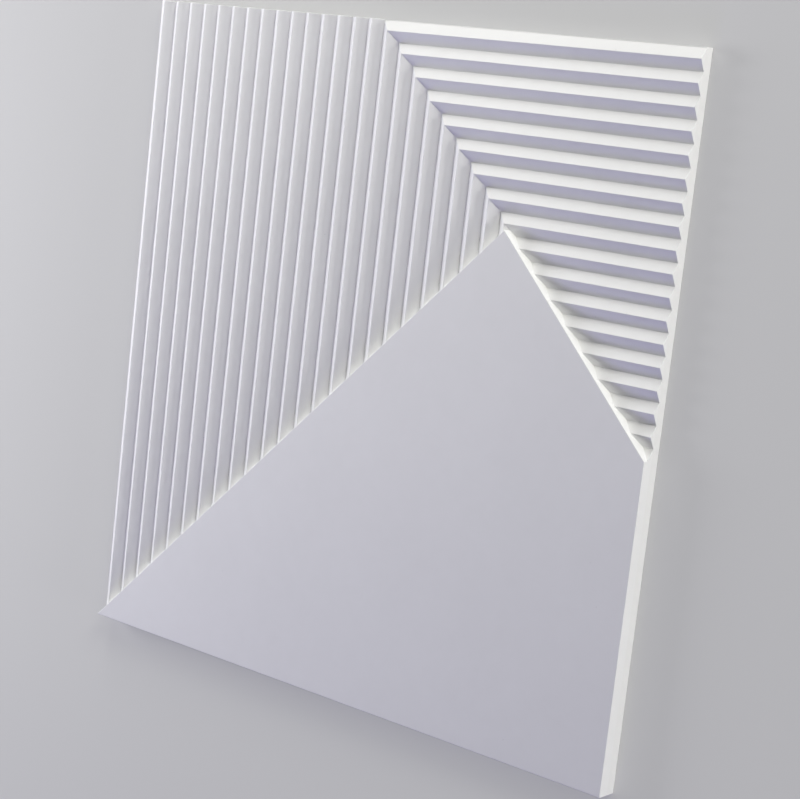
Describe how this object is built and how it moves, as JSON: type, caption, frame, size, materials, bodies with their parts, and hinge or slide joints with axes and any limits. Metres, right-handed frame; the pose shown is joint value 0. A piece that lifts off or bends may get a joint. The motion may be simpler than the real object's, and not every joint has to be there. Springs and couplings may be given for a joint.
{
  "type": "3d wall panel tile",
  "caption": "Square cast gypsum wall panel with mitred fields of V-shaped ribs and one plain raised face, flat on its back for gluing to a wall.",
  "frame": {"origin": "middle of the flat back face, on the surface the panel is laid or glued on", "axes": "+Z out of the wall towards the front of the relief, +Y towards the top edge as it hangs, +X towards the right edge"},
  "size_m": [0.6, 0.6, 0.02],
  "materials": {
    "cast_gypsum": "matte"
  },
  "bodies": {
    "root": {"panel": "cast_gypsum"}
  },
  "joints": []
}
